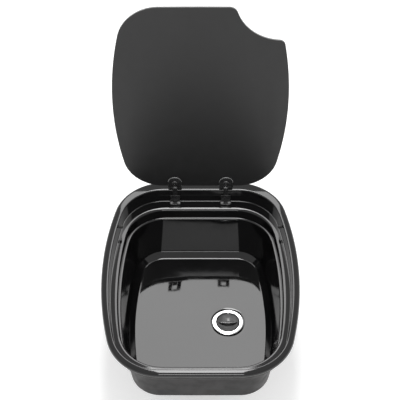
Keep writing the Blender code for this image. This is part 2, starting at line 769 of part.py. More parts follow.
def build_locknut(builder, at, top):
    """A plastic ring nut with a flange and six lugs."""
    low = top - 0.0095
    profile = [(0.0234, top), (0.0345, top), (0.0345, top - 0.0025), (0.0295, top - 0.0030)]
    profile += [(0.0295, low), (0.0234, low)]
    nut = builder.turned("drain_locknut", profile, builder.tail_plastic, at)
    for i in range(6):
        lug = box_mesh("lug", (0.0285, -0.0030, low + 0.0004), (0.0338, 0.0030, top - 0.0015))
        piece = builder.cutter(f"locknut_lug_{i + 1}", lug)
        piece.location = at
        piece.rotation_euler = (0, 0, math.tau * i / 6)
        add_boolean(nut, piece, "UNION")


def build_strainer(builder, at):
    """A perforated steel disc that lies on the flange's inner lip."""
    seat = -0.0125 + FIT
    plate = rod_mesh("drain_strainer", 0.0158, (0, 0, seat), (0, 0, seat + 0.0012), 40, 0.0166)
    disc = builder.solid("drain_strainer", plate, builder.steel)
    disc.location = at
    places = [(0.0, 0.0)]
    places += [(0.0062 * math.cos(a), 0.0062 * math.sin(a)) for a in (math.tau * i / 6 for i in range(6))]
    places += [(0.0118 * math.cos(a), 0.0118 * math.sin(a)) for a in (math.tau * i / 12 for i in range(12))]
    for number, (x, y) in enumerate(places, 1):
        hole = rod_mesh("hole", 0.0019, (x, y, seat - 0.003), (x, y, seat + 0.004), 10)
        piece = builder.cutter(f"strainer_hole_{number}", hole)
        piece.location = at
        add_boolean(disc, piece)


def build_tail(builder, at, tail_end):
    """The washer, union nut and barbed tail below the flange."""
    washer_low = tail_end - FIT - 0.0020
    builder.turned(
        "tail_washer", ring_profile(0.0182, 0.0228, washer_low, tail_end - FIT), builder.rubber, at
    )
    top = washer_low - FIT
    nut = [(0.0234, tail_end + 0.0110), (0.0285, tail_end + 0.0110), (0.0285, top - 0.0060)]
    nut += [(0.0262, top - 0.0072), (0.0152, top - 0.0072), (0.0152, top - 0.0034), (0.0234, top - 0.0034)]
    union = builder.turned("tail_nut", nut, builder.tail_plastic, at)
    for i in range(10):
        rib = box_mesh("rib", (0.0275, -0.0011, top - 0.0052), (0.0299, 0.0011, tail_end + 0.0100))
        piece = builder.cutter(f"tail_nut_rib_{i + 1}", rib)
        piece.location = at
        piece.rotation_euler = (0, 0, math.tau * i / 10)
        add_boolean(union, piece, "UNION")
    bore, pipe, barb = 0.0105, 0.0125, 0.0142
    tail = [(bore, top), (0.0229, top), (0.0229, top - 0.0030), (0.0148, top - 0.0030)]
    tail += [(0.0148, top - 0.0110), (pipe, top - 0.0125)]
    z = top - 0.0170
    for _ in range(4):
        tail += [(pipe, z), (barb, z - 0.0008), (pipe, z - 0.0055)]
        z -= 0.0070
    tail += [(pipe - 0.0008, z), (bore, z)]
    builder.turned("hose_tail", tail, builder.tail_plastic, at)


def build_plug(builder):
    """A dished plug with a finger bar across it, and the rubber ring round it."""
    at = (DRAIN_X, DRAIN_Y, SEAT_Z)
    rim_radius, rim_z = 0.0209, 0.0024
    dish = 0.0080
    profile = [(0.0, rim_z - dish)]
    for share in (0.25, 0.5, 0.75, 0.93):
        profile.append((rim_radius * share, rim_z - dish * (1 - share**2.4)))
    profile += [(rim_radius - 0.0008, rim_z), (rim_radius, rim_z - 0.0007), (rim_radius, -0.0020)]
    profile += [(0.0190, -0.0020), (0.0190, -0.0046), (0.0200, -0.0046), (0.0200, -0.0080)]
    profile += [(0.0183, -0.0104), (0.0165, -0.0104), (0.0155, -0.0092), (0.0, -0.0092)]
    plug = builder.turned("drain_plug", profile, builder.black_satin, at, closed=False)
    bar = box_mesh("bar", (-0.0180, -0.0018, rim_z - dish - 0.0010), (0.0180, 0.0018, rim_z + 0.0004))
    piece = builder.cutter("plug_bar", bar)
    piece.location = at
    add_boolean(plug, piece, "UNION")
    ring = [(0.0193, -0.0023), (0.0212, -0.0023), (0.0217, -0.0033), (0.0212, -0.0043), (0.0193, -0.0043)]
    builder.turned("plug_seal", ring, builder.rubber, at)


# ---- Assembly ----------------------------------------------------------------------


def main():
    clear_scene()
    builder = Builder()
    build_bowl(builder)
    build_rim_gasket(builder)
    build_lid_rests(builder)
    build_foot_screws(builder)
    lid = bpy.data.objects.new("lid_pivot", None)
    builder.parts.objects.link(lid)
    lid.location = (0, PIVOT_Y, PIVOT_Z)
    lid.rotation_euler = (-OPEN_ANGLE, 0, 0)
    for side, sign in (("left", -1), ("right", 1)):
        x = sign * HINGE_X
        build_hinge_base(builder, side, x)
        build_hinge_pin(builder, side, x)
        build_hinge_leaf(builder, side, x, lid)
        build_clamp(builder, side, x, lid)
    build_glass(builder, lid)
    build_drain(builder)
    build_plug(builder)


main()
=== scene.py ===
"""The looks of the lidded sink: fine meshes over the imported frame, materials, studio and camera.

Everything is in metres in the frame's own axes: +X right, +Y back, +Z up, with the
worktop's surface at zero. The lid is built closed and turned to where it rests.
"""

import json
import math

import bmesh
import bpy
from mathutils import Matrix, Vector


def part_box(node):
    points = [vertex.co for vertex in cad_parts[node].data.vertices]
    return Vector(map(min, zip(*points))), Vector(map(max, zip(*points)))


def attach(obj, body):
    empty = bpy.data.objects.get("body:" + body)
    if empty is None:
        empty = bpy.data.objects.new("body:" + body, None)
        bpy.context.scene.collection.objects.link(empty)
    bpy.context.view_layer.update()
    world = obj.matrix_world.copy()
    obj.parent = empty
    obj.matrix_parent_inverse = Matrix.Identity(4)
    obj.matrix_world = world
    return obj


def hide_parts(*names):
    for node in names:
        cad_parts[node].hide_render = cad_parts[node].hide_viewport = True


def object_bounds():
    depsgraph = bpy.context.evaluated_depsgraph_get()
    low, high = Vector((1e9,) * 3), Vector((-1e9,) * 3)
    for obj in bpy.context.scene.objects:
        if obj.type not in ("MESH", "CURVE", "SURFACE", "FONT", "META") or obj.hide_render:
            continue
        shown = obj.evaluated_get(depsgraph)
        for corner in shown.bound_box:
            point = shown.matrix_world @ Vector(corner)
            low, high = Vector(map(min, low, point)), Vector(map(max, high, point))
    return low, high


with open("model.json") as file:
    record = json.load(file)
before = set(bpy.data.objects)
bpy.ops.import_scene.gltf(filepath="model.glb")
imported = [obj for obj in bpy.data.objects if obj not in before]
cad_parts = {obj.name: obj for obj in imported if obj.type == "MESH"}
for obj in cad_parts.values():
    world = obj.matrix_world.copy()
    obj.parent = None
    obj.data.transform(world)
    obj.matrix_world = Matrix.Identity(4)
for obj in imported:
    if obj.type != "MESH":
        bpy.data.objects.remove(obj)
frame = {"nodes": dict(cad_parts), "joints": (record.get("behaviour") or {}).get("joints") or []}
cad_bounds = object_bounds()

# ---- Sizes read from the frame -----------------------------------------------------

LOW, HIGH = 0, 1
bowl_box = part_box("sink_bowl")
flange_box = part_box("drain_flange")
base_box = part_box("hinge_base_right")
foot_screw_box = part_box("hinge_screw_right_2")
lid_joint = next(j for j in frame["joints"] if j["name"] == "lid_hinge")

RIM_TOP = bowl_box[HIGH].z
RIM_HALF_WIDTH = bowl_box[HIGH].x
RIM_HALF_DEPTH = (bowl_box[HIGH].y - bowl_box[LOW].y) / 2
RIM_Y = (bowl_box[HIGH].y + bowl_box[LOW].y) / 2
PIVOT = Vector(lid_joint["pos_m"])
OPEN_ANGLE = math.radians(lid_joint["range_deg"][HIGH])
HINGE_X = (base_box[LOW].x + base_box[HIGH].x) / 2
FOOT_SCREW_X = (foot_screw_box[LOW].x + foot_screw_box[HIGH].x) / 2 - HINGE_X
FOOT_SCREW_Y = (foot_screw_box[LOW].y + foot_screw_box[HIGH].y) / 2
DRAIN = (flange_box[LOW] + flange_box[HIGH]) / 2
FIT = 0.0003  # gap between pieces that touch
WASTE_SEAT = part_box("drain_seal")[LOW].z - FIT  # the floor's seat for the waste

# ---- The bowl's section ------------------------------------------------------------

WALL = 0.0025
SKIRT_GAP = 0.001  # between the skirt's lower edge and the worktop
RIM_EDGE_RADIUS = 0.007  # the rim's outer edge
LIP_RADIUS = 0.003  # the rim's inner edge
LEDGE_LIP_RADIUS = 0.006
STEP_LIP_RADIUS = 0.004
RECESS_DRAFT = 0.0015
RECESS_FILLET = 0.0015
LEDGE_Z = RIM_TOP - 0.030
STEP_Z = RIM_TOP - 0.052
STEP_INSET = 0.0045
FLOOR_Z = RIM_TOP - 0.147
WALL_DRAFT = math.radians(8.3)
CHAMFER = 0.0116  # the sloping band between the wall and the floor
CHAMFER_BEND = 0.005  # radius of the bends above and below it
DRAIN_FALL = 0.0025  # how far the floor falls to the drain
DRAIN_SEAT_RADIUS = 0.0325
DRAIN_SEAT_MARGIN = 0.003  # floor round the seat that the fall stops short of
DRAIN_SEAT_EDGE = ((0.0, 0.0012), (0.0004, 0.0004), (0.0012, 0.0))  # (inwards, upwards)
DRAIN_HOLE_RADIUS = 0.0235
BOWL_Y = 0.001  # the middle of the ledge and step
FLOOR_Y = -0.0012  # the middle of the floor
RING_GAP = 0.0002  # keeps neighbouring rings of the bowl apart

# ---- The lid and its hinges, measured from the pivot with the lid closed -----------

GLASS = 0.004
GLASS_PROUD = 0.0005  # above the rim
GLASS_EDGE = 0.0007  # bevel
GLASS_TOP = RIM_TOP + GLASS_PROUD - PIVOT.z
GLASS_BOTTOM = GLASS_TOP - GLASS
PAD = 0.001
PAD_RADIUS = 0.0095
PAD_BORE = 0.0026
PAD_EDGE = 0.0003  # radius of its rounded edges
LEAF_THICKNESS = 0.003
LEAF_TOP = GLASS_BOTTOM - PAD - 2 * FIT
LEAF_BOTTOM = LEAF_TOP - LEAF_THICKNESS
LEAF_ROUND = 0.0135
LEAF_LENGTH = 0.0333
LEAF_TAIL = 0.0098
CLAMP_Y = LEAF_ROUND - LEAF_LENGTH
LEAF_EDGE = 0.0009  # bevel
LEAF_INNER, LEAF_OUTER = 0.00495, 0.0125  # the two sides of a cheek
CHEEK_FRONT = -0.0092
CHEEK_BACK = -0.0055
CHEEK_BEND = 0.0030
CHEEK_TIP = -0.0125
BRIDGE_TIP = -0.0122
KNUCKLE_RADIUS = 0.0040
KNUCKLE_TAIL = [(-0.0044, -0.0045)]  # where a neck leaves the knuckle's round
NECK_BACK_TOP = -0.0062
BASE_HALF = 0.0046
BASE_FRONT = -0.0078
BASE_BACK = -0.0056
BASE_BEND = 0.0036
ARM_TOP = -0.0165
ARM_LAP = 0.0015  # how far the neck runs down behind the arm
ARM_HALF = 0.0095
FOOT_THICKNESS = 0.0027
FOOT_LOBE = 0.0042  # radius round a screw
FOOT_EDGE = 0.0006  # bevel
FOOT_HALF = 0.0092
FOOT_BACK = -0.0105
HINGE_EDGE = 0.0005  # bevel
SCREW_HEAD = 0.0034  # radius
SCREW_DOME = 0.0020
SCREW_SHANK = 0.0017  # radius
SCREW_UNDERSIDE = -0.0024  # from the dome's crown
SCREW_POINT = 0.002  # length
PIN_RADIUS = 0.0016
PIN_PLAY = 0.0004  # between a cheek and the pin's head
PIN_HEAD = 0.0008  # thickness
PIN_HEAD_RADIUS = 0.0027
PIN_HEAD_FLAT = 0.0024  # radius of its flat end
CAP_RADIUS = 0.0105
CAP_THICKNESS = 0.0048
CAP_SIDE = 0.0018
CLAMP_SHANK = 0.0019  # radius
CLAMP_HEAD = 0.0050  # radius
CLAMP_HEAD_SIDE = 0.0006
CLAMP_HEAD_DOME = 0.0018
CLAMP_SHANK_END = 0.0030  # how far the shank reaches past the leaf's underside
DRIVE_DEPTH = 0.0014  # the hollow in the clamp screw's head

# ---- The glass ---------------------------------------------------------------------

LID_Y = 0.0043
NOTCH = Vector((0.1436, -0.2137 - LID_Y))
NOTCH_RADIUS = 0.083
NOTCH_FRONT_FILLET = 0.016
NOTCH_SIDE_FILLET = 0.012
HINGE_CUT_HALF = 0.0134
HINGE_CUT_Y = -0.0105
HINGE_CUT_BACK = 0.01
HINGE_CUT_LOW, HINGE_CUT_HIGH = -0.02, 0.01

# ---- The small pieces --------------------------------------------------------------

GASKET_GAP = 0.0006  # from the recess's outside
GASKET_INSET = 0.0012  # from the skirt's inside
GASKET_BULGE = 0.0004
GASKET_SHOULDER = 0.0030
GASKET_SHOULDER_DROP = 0.0026
BUFFER_LENGTH = 0.0082
BUFFER_RADIUS = 0.0034
BUFFER_STEM = 0.0028  # radius of the collar against the wall
BUFFER_STEM_LENGTH = 0.0012
BUFFER_SETBACK = 0.0006  # of the nose from the CAD node's end, as the buffer leans
BUFFER_SLIDE = 0.0008  # of the nose to the front, for the same reason
BUFFER_NOSE = [(0.0, 0.0), (0.0012, 0.0), (0.0026, 0.0003), (0.0033, 0.0011), (BUFFER_RADIUS, 0.0024)]
BUFFER_LEAN = -0.18  # how far a buffer turns to the front, as a share of its length
PIPE_RADIUS = 0.0230
PIPE_BORE = 0.0180
THROAT_RADIUS = 0.0160
MOUTH_RADIUS = 0.0222
RING_ROLL = 0.0014  # radius of the bright ring's outer edge
PLUG_RADIUS = 0.0209
PLUG_TOP = 0.0024  # above the seat
PLUG_DISH = 0.0080
PLUG_DISH_SHARE = 0.95  # of the radius
PLUG_DISH_POWER = 2.4  # the higher, the flatter the dish's floor
PLUG_GROOVE = 0.0190  # radius under the rubber ring
PLUG_GROOVE_TOP, PLUG_GROOVE_END = 0.0020, 0.0046  # below the seat
PLUG_FOOT = 0.0200  # radius
BAR_LENGTH, BAR_WIDTH = 0.0181, 0.0024  # halves
BAR_EDGE = 0.0016  # bevel
BAR_PROUD = 0.0004  # above the plug's edge

# ---- How finely round things are cut -----------------------------------------------

SHARP_ANGLE = 35  # degrees from which an edge stays a crease
OUTLINE_STEPS = (16, 22, 6)  # side, corner and end pieces of an outline's quarter
TURN_STEPS = 96

# ---- Studio and camera -------------------------------------------------------------

WORLD_BRIGHTNESS = 0.75
FLOOR_HALF_WIDTH = 4.0
FLOOR_THICKNESS = 0.02
FLOOR_DROP = 0.001  # below the lowest point
FLOOR_GLOW = 0.3
CAMERA_LENS = 99.8
CAMERA_TARGET = Vector((-0.0008, 0.1843, RIM_TOP))
CAMERA_OFFSET = Vector((0.0, -1.4838, 1.5747))


# ---- Outlines and meshes -----------------------------------------------------------


def circles_meet(centre_a, radius_a, centre_b, radius_b, towards):
    """The crossing of two circles that lies furthest along a direction."""
    between = centre_b - centre_a
    distance = between.length
    along = (radius_a**2 - radius_b**2 + distance**2) / (2 * distance)
    across = math.sqrt(max(radius_a**2 - along**2, 0.0))
    unit = between / distance
    normal = Vector((-unit.y, unit.x))
    foot = centre_a + unit * along
    return max((foot + normal * across, foot - normal * across), key=towards.dot)


def arc(centre, radius, start, end, steps):
    """Points of an arc, without its last one."""
    angles = [start + (end - start) * i / steps for i in range(steps)]
    return [centre + Vector((math.cos(a), math.sin(a))) * radius for a in angles]


def angle_of(vector):
    return math.atan2(vector.y, vector.x)


def quarter_turn(steps):
    """Angles from 0 to 90 degrees."""
    return [math.pi / 2 * i / steps for i in range(steps + 1)]


class Outline:
    """A rounded rectangle with bowed sides: a side, an end and a corner arc, tangent to each other."""

    def __init__(self, half_x, half_y, side, end, corner, middle_y=0.0):
        self.half_x = half_x
        self.half_y = half_y
        self.side = side
        self.end = end
        self.corner = corner
        self.middle_y = middle_y

    def inset(self, distance):
        return Outline(
            self.half_x - distance,
            self.half_y - distance,
            self.side - distance,
            self.end - distance,
            self.corner - distance,
            self.middle_y,
        )

    def arcs(self):
        """Centres of the side, end and corner arcs of the first quadrant."""
        side_centre = Vector((self.half_x - self.side, 0.0))
        end_centre = Vector((0.0, self.half_y - self.end))
        corner_centre = circles_meet(
            side_centre,
            self.side - self.corner,
            end_centre,
            self.end - self.corner,
            Vector((1.0, 1.0)),
        )
        return side_centre, end_centre, corner_centre

    def points(self, steps=OUTLINE_STEPS):
        """The whole loop, counter-clockwise from the +X axis."""
        side_centre, end_centre, corner_centre = self.arcs()
        first = angle_of(corner_centre - side_centre)
        second = angle_of(corner_centre - end_centre)
        quarter = arc(side_centre, self.side, 0.0, first, steps[0])
        quarter += arc(corner_centre, self.corner, first, second, steps[1])
        quarter += arc(end_centre, self.end, second, math.pi / 2, steps[2])
        quarter.append(Vector((0.0, self.half_y)))
        loop = [(p.x, p.y) for p in quarter[:-1]]
        loop += [(-p.x, p.y) for p in reversed(quarter[1:])]
        loop += [(-p.x, -p.y) for p in quarter[:-1]]
        loop += [(p.x, -p.y) for p in reversed(quarter[1:])]
        return [Vector((x, y + self.middle_y)) for x, y in loop]


RIM = Outline(RIM_HALF_WIDTH, RIM_HALF_DEPTH, 0.671, 9.0, 0.098, RIM_Y)
RECESS = Outline(0.1685, 0.2115, 0.678, 9.0, 0.083)
LID = Outline(0.1618, 0.2022, 0.668, 9.0, 0.0755, LID_Y)
LEDGE = Outline(0.152, 0.1855, 0.750, 9.0, 0.077, BOWL_Y)
STEP = LEDGE.inset(STEP_INSET)
FLOOR = Outline(0.1229, 0.1586, 0.721, 8.97, 0.040, FLOOR_Y)


def finish_mesh(name, bm, reorient=True):
    """A mesh of the working one, with its faces turned outwards unless they are to stay as drawn."""
    if reorient:
        bmesh.ops.recalc_face_normals(bm, faces=bm.faces)
    mesh = bpy.data.meshes.new(name)
    bm.to_mesh(mesh)
    bm.free()
    return mesh


def slab(name, loop, low, high, upright=False):
    """A flat outline given thickness: along Z, or along X with the outline in the YZ plane."""
    bm = bmesh.new()
    if upright:
        corners = [(low, p[0], p[1]) for p in loop]
        travel = Vector((high - low, 0, 0))
    else:
        corners = [(p[0], p[1], low) for p in loop]
        travel = Vector((0, 0, high - low))
    face = bm.faces.new([bm.verts.new(c) for c in corners])
    made = bmesh.ops.extrude_face_region(bm, geom=[face])
    moved = [v for v in made["geom"] if isinstance(v, bmesh.types.BMVert)]
    bmesh.ops.translate(bm, verts=moved, vec=travel)
    return finish_mesh(name, bm)


def loft(name, rings, wrap=False):
    """A surface through a list of (loop, z), closed on itself if it wraps.

    An open one keeps the facing that it is drawn with, since a wall is thickened from it.
    """
    bm = bmesh.new()
    rows = [[bm.verts.new((p.x, p.y, z)) for p in loop] for loop, z in rings]
    pairs = list(zip(rows, rows[1:]))
    if wrap:
        pairs.append((rows[-1], rows[0]))
    for upper, lower in pairs:
        for i in range(len(upper)):
            j = (i + 1) % len(upper)
            bm.faces.new((upper[i], upper[j], lower[j], lower[i]))
    return finish_mesh(name, bm, reorient=wrap)


def turned(name, profile, closed=True, steps=TURN_STEPS):
    """A profile of (radius, z) points turned round the Z axis.

    A point on the axis is a row of one vertex, and the faces that meet it are triangles.
    """
    bm = bmesh.new()
    rows = []
    for radius, z in profile:
        if radius < 1e-6:
            rows.append([bm.verts.new((0, 0, z))])
            continue
        angles = [math.tau * i / steps for i in range(steps)]
        rows.append([bm.verts.new((radius * math.cos(a), radius * math.sin(a), z)) for a in angles])
    pairs = list(zip(rows, rows[1:]))
    if closed:
        pairs.append((rows[-1], rows[0]))
    for upper, lower in pairs:
        for i in range(steps):
            j = (i + 1) % steps
            above = [upper[i % len(upper)], upper[j % len(upper)]]
            below = [lower[j % len(lower)], lower[i % len(lower)]]
            bm.faces.new(list(dict.fromkeys(above + below)))
    return finish_mesh(name, bm)


def rounded(profile, radius, steps=3):
    """A closed profile with each of its corners given a small radius."""
    points = [Vector(p) for p in profile]
    count = len(points)
    result = []
    for i, point in enumerate(points):
        before = points[i - 1] - point
        after = points[(i + 1) % count] - point
        reach = min(radius, before.length * 0.45, after.length * 0.45)
        start = point + before.normalized() * reach
        end = point + after.normalized() * reach
        for k in range(steps + 1):
            t = k / steps
            result.append(tuple(start * (1 - t) ** 2 + point * 2 * t * (1 - t) + end * t**2))
    return result


def join_meshes(name, meshes):
    """One mesh of several."""
    bm = bmesh.new()
    for mesh in meshes:
        bm.from_mesh(mesh)
        bpy.data.meshes.remove(mesh)
    return finish_mesh(name, bm, reorient=False)


def show(name, mesh, body, material, nodes):
    """Puts a piece in the scene, riding on a body in place of its CAD nodes, if it has any."""
    obj = bpy.data.objects.new(name, mesh)
    bpy.context.scene.collection.objects.link(obj)
    mesh.materials.clear()
    mesh.materials.append(material)
    mesh.shade_smooth()
    mesh.set_sharp_from_angle(angle=math.radians(SHARP_ANGLE))
    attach(obj, body)
    if nodes:
        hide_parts(*nodes)
    return obj


def with_modifiers(mesh, *settings):
    """The mesh after modifiers, each given as (type, {option: value})."""
    obj = bpy.data.objects.new("work", mesh)
    bpy.context.scene.collection.objects.link(obj)
    for kind, options in settings:
        modifier = obj.modifiers.new(kind.lower(), kind)
        for key, value in options.items():
            setattr(modifier, key, value)
    depsgraph = bpy.context.evaluated_depsgraph_get()
    result = bpy.data.meshes.new_from_object(obj.evaluated_get(depsgraph))
    bpy.data.objects.remove(obj)
    bpy.data.meshes.remove(mesh)
    return result


def bevelled(mesh, width, segments=3, angle=SHARP_ANGLE):
    """The mesh with its sharp edges rounded."""
    return with_modifiers(
        mesh,
        (
            "BEVEL",
            {
                "width": width,
                "segments": segments,
                "limit_method": "ANGLE",
                "angle_limit": math.radians(angle),
                "harden_normals": False,
            },
        ),
    )


def moved(mesh, offset):
    mesh.transform(Matrix.Translation(offset))
    return mesh


def opened(mesh):
    """Turns a mesh, built closed about the pivot, to where the lid rests open."""
    mesh.transform(Matrix.Translation(PIVOT) @ Matrix.Rotation(-OPEN_ANGLE, 4, "X"))
    return mesh


# ---- Materials ---------------------------------------------------------------------


class Finish:
    """A Principled material whose colour, roughness and surface come from noise."""

    def __init__(self, name, metallic=0.0):
        self.material = bpy.data.materials.new(name)
        self.material.use_nodes = True
        self.nodes = self.material.node_tree.nodes
        self.links = self.material.node_tree.links
        self.shader = self.nodes["Principled BSDF"]
        self.shader.inputs["Metallic"].default_value = metallic
        self.place = self.nodes.new("ShaderNodeTexCoord").outputs["Object"]
        self.normal = None

    def noise(self, scale, detail=3.0, stretch=(1.0, 1.0, 1.0)):
        """A noise of a given number of blotches in a metre."""
        mapping = self.nodes.new("ShaderNodeMapping")
        mapping.inputs["Scale"].default_value = stretch
        texture = self.nodes.new("ShaderNodeTexNoise")
        texture.inputs["Scale"].default_value = scale
        texture.inputs["Detail"].default_value = detail
        self.links.new(self.place, mapping.inputs["Vector"])
        self.links.new(mapping.outputs["Vector"], texture.inputs["Vector"])
        return texture.outputs["Fac"]

    def ramp(self, factor, low, high, start=0.35, end=0.65):
        """A number that goes from low to high as the factor goes from start to end."""
        node = self.nodes.new("ShaderNodeMapRange")
        node.inputs["From Min"].default_value = start
        node.inputs["From Max"].default_value = end
        node.inputs["To Min"].default_value = low
        node.inputs["To Max"].default_value = high
        self.links.new(factor, node.inputs["Value"])
        return node.outputs["Result"]

    def colour(self, factor, first, second):
        node = self.nodes.new("ShaderNodeMix")
        node.data_type = "RGBA"
        node.inputs["A"].default_value = (*first, 1.0)
        node.inputs["B"].default_value = (*second, 1.0)
        self.links.new(self.ramp(factor, 0.0, 1.0), node.inputs["Factor"])
        self.links.new(node.outputs["Result"], self.shader.inputs["Base Color"])

    def roughness(self, factor, low, high):
        self.links.new(self.ramp(factor, low, high), self.shader.inputs["Roughness"])

    def bump(self, factor, depth):
        """Adds a relief of a given depth in metres."""
        node = self.nodes.new("ShaderNodeBump")
        node.inputs["Strength"].default_value = 1.0
        node.inputs["Distance"].default_value = depth
        self.links.new(factor, node.inputs["Height"])
        if self.normal:
            self.links.new(self.normal, node.inputs["Normal"])
        self.normal = node.outputs["Normal"]
        self.links.new(self.normal, self.shader.inputs["Normal"])

    def set(self, **values):
        """Sets sockets that are the same all over, such as specular_ior_level."""
        for key, value in values.items():
            self.shader.inputs[key.replace("_", " ").title().replace("Ior", "IOR")].default_value = value


def black_gloss():
    """Deep black acrylic: a hard gloss, with faint wipe marks and a trace of orange peel."""
    finish = Finish("black_gloss")
    finish.colour(finish.noise(9), (0.0035, 0.0035, 0.0038), (0.0060, 0.0058, 0.0060))
    finish.roughness(finish.noise(38, 6), 0.035, 0.075)
    finish.bump(finish.noise(420, 2), 0.0000020)
    finish.bump(finish.noise(1600, 4, (1.0, 0.08, 1.0)), 0.0000012)
    return finish.material


def black_underside():
    """The back of the moulding, which is duller and lightly pebbled."""
    finish = Finish("black_underside")
    finish.colour(finish.noise(14), (0.0105, 0.0098, 0.0098), (0.0185, 0.0172, 0.0172))
    finish.roughness(finish.noise(60, 5), 0.36, 0.52)
    finish.bump(finish.noise(900, 3), 0.000035)
    finish.set(specular_ior_level=0.3)
    return finish.material


def smoked_glass():
    """Toughened glass with a fine etched face, so dark that little light comes through."""
    finish = Finish("smoked_glass")
    finish.colour(finish.noise(5), (0.0090, 0.0090, 0.0091), (0.0115, 0.0115, 0.0116))
    finish.roughness(finish.noise(60, 5), 0.46, 0.52)
    finish.bump(finish.noise(4000, 2), 0.000002)
    finish.set(alpha=0.985)
    return finish.material


def black_satin():
    """Moulded nylon with a fine spark-eroded grain, rubbed a little smoother in places."""
    finish = Finish("black_satin")
    finish.colour(finish.noise(160), (0.010, 0.010, 0.0105), (0.022, 0.022, 0.022))
    finish.roughness(finish.noise(240, 4), 0.22, 0.38)
    finish.bump(finish.noise(2600, 2), 0.00002)
    return finish.material


def chrome():
    """Polished chrome with faint water spots."""
    finish = Finish("chrome", metallic=1.0)
    finish.colour(finish.noise(90), (0.80, 0.81, 0.82), (0.90, 0.90, 0.90))
    finish.roughness(finish.noise(300, 5), 0.05, 0.16)
    finish.bump(finish.noise(150, 2), 0.000004)
    return finish.material


def steel():
    """Stainless steel, brushed."""
    finish = Finish("steel", metallic=1.0)
    finish.colour(finish.noise(70), (0.50, 0.50, 0.51), (0.64, 0.64, 0.64))
    finish.roughness(finish.noise(200, 4), 0.2, 0.36)
    finish.bump(finish.noise(2000, 3, (1.0, 0.04, 1.0)), 0.000008)
    return finish.material


def plug_plastic():
    """Moulded plastic polished smooth by handling, with fine swirls."""
    finish = Finish("plug_plastic")
    finish.colour(finish.noise(140), (0.12, 0.12, 0.121), (0.16, 0.16, 0.16))
    finish.roughness(finish.noise(320, 5), 0.16, 0.30)
    finish.bump(finish.noise(1400, 3, (1.0, 0.1, 1.0)), 0.000006)
    return finish.material


def rubber():
    """Matt black rubber with a bloom of dust."""
    finish = Finish("rubber")
    finish.colour(finish.noise(120), (0.013, 0.013, 0.013), (0.032, 0.031, 0.030))
    finish.roughness(finish.noise(180, 4), 0.6, 0.8)
    finish.bump(finish.noise(1500, 3), 0.00004)
    return finish.material


def tail_plastic():
    """Grey-black moulded plastic with flow marks."""
    finish = Finish("tail_plastic")
    finish.colour(finish.noise(45), (0.030, 0.030, 0.031), (0.055, 0.055, 0.056))
    finish.roughness(finish.noise(110, 4), 0.32, 0.5)
    finish.bump(finish.noise(1100, 3), 0.00003)
    return finish.material


# ---- The bowl and its gasket -------------------------------------------------------


def drain_circle(radius, count):
    """A circle round the drain, counter-clockwise from the +X direction as an outline is."""
    centre = Vector((DRAIN.x, DRAIN.y))
    angles = [math.tau * i / count for i in range(count)]
    return [centre + Vector((math.cos(a), math.sin(a))) * radius for a in angles]


def lip_rings(outline, top, radius, steps=8):
    """A rounded edge from a flat top, over and down to a wall."""
    rings = []
    for a in quarter_turn(steps):
        ring = outline.inset(-radius * (1 - math.sin(a)))
        rings.append((ring.points(), top - radius * (1 - math.cos(a))))
    return rings


def bowl_rings():
    """From the skirt's lower edge, over the rim, down the steps and walls, and across to the waste."""
    rings = [(RIM.points(), SKIRT_GAP)]
    for a in quarter_turn(12):
        inset = RIM_EDGE_RADIUS * (1 - math.cos(a))
        rings.append((RIM.inset(inset).points(), RIM_TOP - RIM_EDGE_RADIUS * (1 - math.sin(a))))
    rings += lip_rings(RECESS, RIM_TOP, LIP_RADIUS)
    foot = RECESS.inset(RECESS_DRAFT + RECESS_FILLET)
    for a in quarter_turn(8):
        z = LEDGE_Z + RECESS_FILLET * (1 - math.sin(a))
        rings.append((foot.inset(-RECESS_FILLET * math.cos(a)).points(), z))
    rings += lip_rings(LEDGE, LEDGE_Z, LEDGE_LIP_RADIUS, 12)
    rings.append((LEDGE.inset(STEP_INSET - STEP_LIP_RADIUS - RING_GAP).points(), STEP_Z))
    rings += lip_rings(STEP, STEP_Z, STEP_LIP_RADIUS, 10)
    rings += [(FLOOR.inset(-out).points(), FLOOR_Z + up) for out, up in chamfer_section()]
    return rings + drain_rings()


def chamfer_section(steps=8):
    """(outwards, upwards) points from the wall's foot down to the floor's edge, measured from there."""
    slope = math.pi / 4
    low_bend = [(math.sin(a), 1 - math.cos(a)) for a in (slope * i / steps for i in range(steps + 1))]
    points = [(CHAMFER_BEND * out, CHAMFER_BEND * up) for out, up in low_bend]
    out = points[-1][0] + CHAMFER * math.cos(slope)
    up = points[-1][1] + CHAMFER * math.sin(slope)
    for i in range(steps + 1):
        a = slope + (math.pi / 2 - WALL_DRAFT - slope) * i / steps
        rise_out = CHAMFER_BEND * (math.sin(a) - math.sin(slope))
        rise_up = CHAMFER_BEND * (math.cos(slope) - math.cos(a))
        points.append((out + rise_out, up + rise_up))
    return points[::-1]


def drain_rings(steps=14):
    """The floor, which falls gently to the waste, and the waste's seat."""
    edge = FLOOR.points()
    count = len(edge)
    brink = drain_circle(DRAIN_SEAT_RADIUS + DRAIN_SEAT_MARGIN, count)
    rings = []
    for i in range(1, steps + 1):
        share = i / steps
        loop = [a.lerp(b, share) for a, b in zip(edge, brink)]
        rings.append((loop, FLOOR_Z - DRAIN_FALL * (1 - math.cos(math.pi * share)) / 2))
    for inwards, upwards in DRAIN_SEAT_EDGE:
        rings.append((drain_circle(DRAIN_SEAT_RADIUS - inwards, count), WASTE_SEAT + upwards))
    rings.append((drain_circle(DRAIN_HOLE_RADIUS, count), WASTE_SEAT))
    return rings


